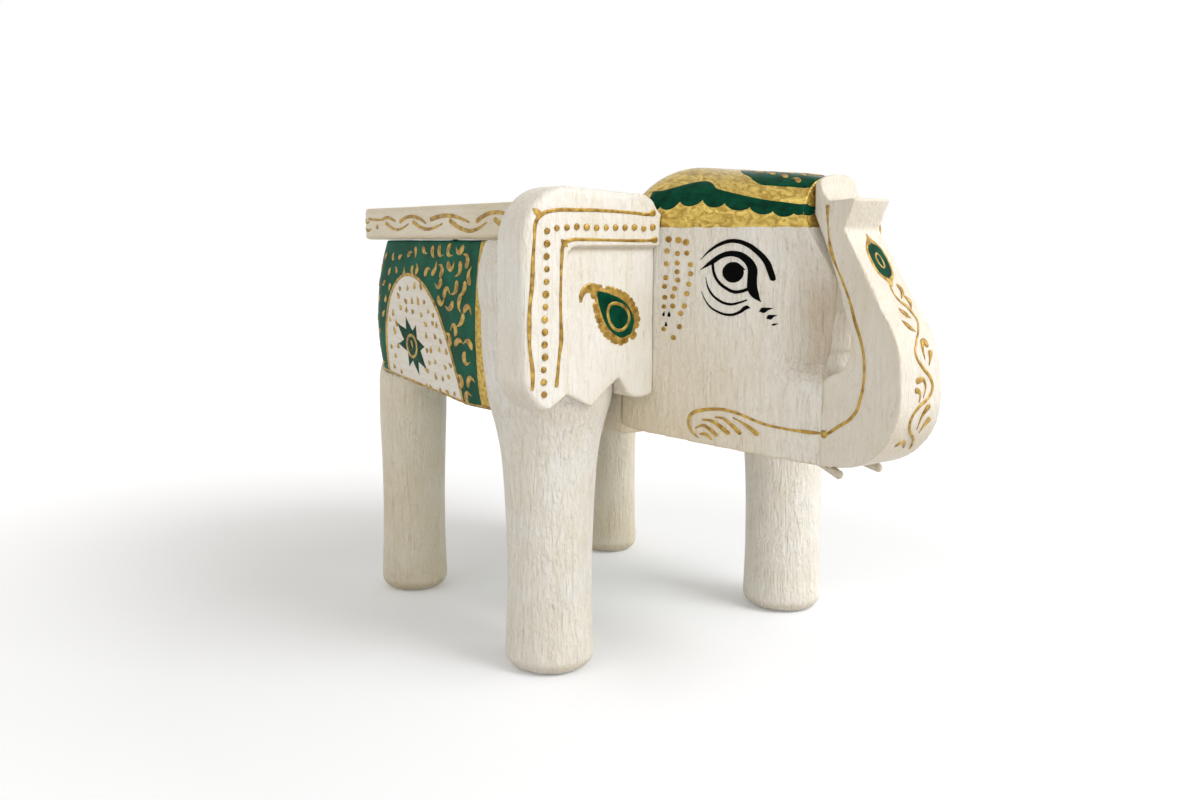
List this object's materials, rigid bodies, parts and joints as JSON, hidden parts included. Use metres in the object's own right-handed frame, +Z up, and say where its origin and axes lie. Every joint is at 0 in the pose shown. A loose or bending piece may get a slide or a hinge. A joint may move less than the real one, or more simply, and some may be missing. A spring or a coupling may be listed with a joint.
{
  "type": "elephant side table",
  "caption": "Low side table carved as a standing elephant with raised trunk: flat plank seat on the back, barrel body, round legs, slab ears and painted ornament.",
  "frame": {"origin": "middle of the bounding box, on the floor", "axes": "+X the way the elephant looks, +Y its left side, +Z up"},
  "size_m": [0.254, 0.1906, 0.1905],
  "materials": {
    "ivory_paint": "brushed chalky off-white paint on carved wood, lightly worn",
    "green_paint": "green paint on carved wood",
    "gold_paint": "raised gold paint",
    "black_paint": "black paint",
    "bare_wood": "bare wood",
    "steel": "plain wire nail"
  },
  "bodies": {
    "root": {"seat_top": "ivory_paint", "body_block": "green_paint", "chest_block": "ivory_paint", "head_block": "ivory_paint", "trunk": "ivory_paint", "ear_left": "ivory_paint", "ear_right": "ivory_paint", "leg_front_left": "ivory_paint", "leg_front_right": "ivory_paint", "leg_rear_left": "ivory_paint", "leg_rear_right": "ivory_paint", "tusk_left": "ivory_paint", "tusk_right": "ivory_paint", "leg_dowels": "bare_wood", "shoulder_dowels": "bare_wood", "chest_dowels": "bare_wood", "head_dowels": "bare_wood", "ear_dowels": "bare_wood", "trunk_dowels": "bare_wood", "seat_nails": "steel", "seat_plugs": "ivory_paint"}
  },
  "joints": []
}
